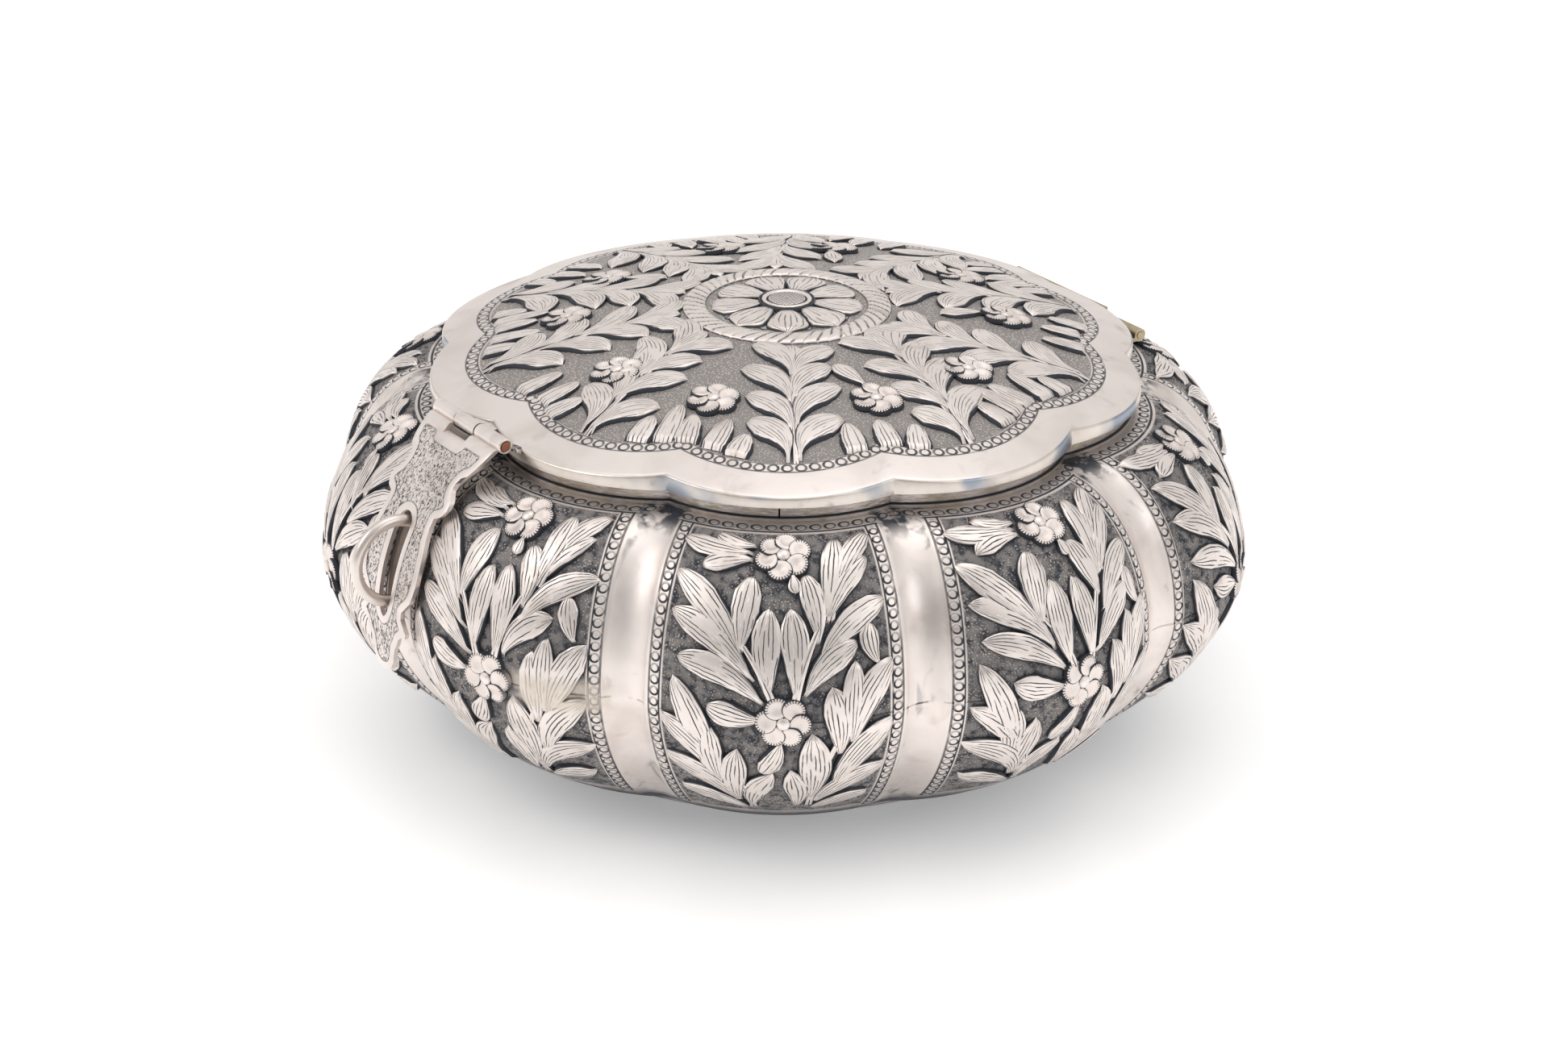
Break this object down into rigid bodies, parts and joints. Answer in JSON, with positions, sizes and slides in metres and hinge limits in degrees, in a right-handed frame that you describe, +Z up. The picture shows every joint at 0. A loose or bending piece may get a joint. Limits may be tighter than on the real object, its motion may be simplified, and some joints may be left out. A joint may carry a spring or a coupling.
{
  "type": "lidded box",
  "caption": "Lobed silver lidded box with a domed hinged lid, chased flower and leaf panels between plain flutes, a scalloped neck, and a front hasp over a wire staple.",
  "frame": {"origin": "centre of the flat underside of the base plate", "axes": "+Z up through the middle of the lid; the hasp is at -Y and the rear hinge at +Y; X runs along both hinges"},
  "size_m": [0.2044, 0.2073, 0.0908],
  "materials": {
    "silver": "hand-raised and chased silver, soft polish on the high spots, blue-grey tarnish in the recesses",
    "silver_neck": "silver strip with a warm yellowish tarnish",
    "silver_wire": "drawn silver wire and tube, worn smooth",
    "silver_hasp": "cut silver sheet, polished edge band round a stippled dull field",
    "hinge_brass": "brassy worn silver alloy, dull",
    "pin_copper": "copper-coloured wire, cut ends dull"
  },
  "bodies": {
    "base": {"body_lower_half": "silver", "body_upper_half": "silver", "base_plate": "silver", "staple": "silver_wire", "neck_collar": "silver_neck", "rear_hinge_body_leaf": "hinge_brass", "rear_hinge_pin": "pin_copper"},
    "lid": {"lid": "silver", "rear_hinge_lid_leaf": "hinge_brass", "hasp_hinge_lid_knuckle": "silver_wire"},
    "hasp": {"hasp": "silver_hasp", "hasp_pin": "pin_copper"}
  },
  "joints": [
    {"name": "lid_hinge", "type": "hinge", "parent": "base", "child": "lid", "pos_m": [0, 0.0775, 0.0745], "axis": [-1, 0, 0], "range_deg": [0, 105]},
    {"name": "hasp_swing", "type": "hinge", "parent": "lid", "child": "hasp", "pos_m": [0, -0.0787, 0.0794], "axis": [-1, 0, 0], "range_deg": [0, 185]}
  ]
}
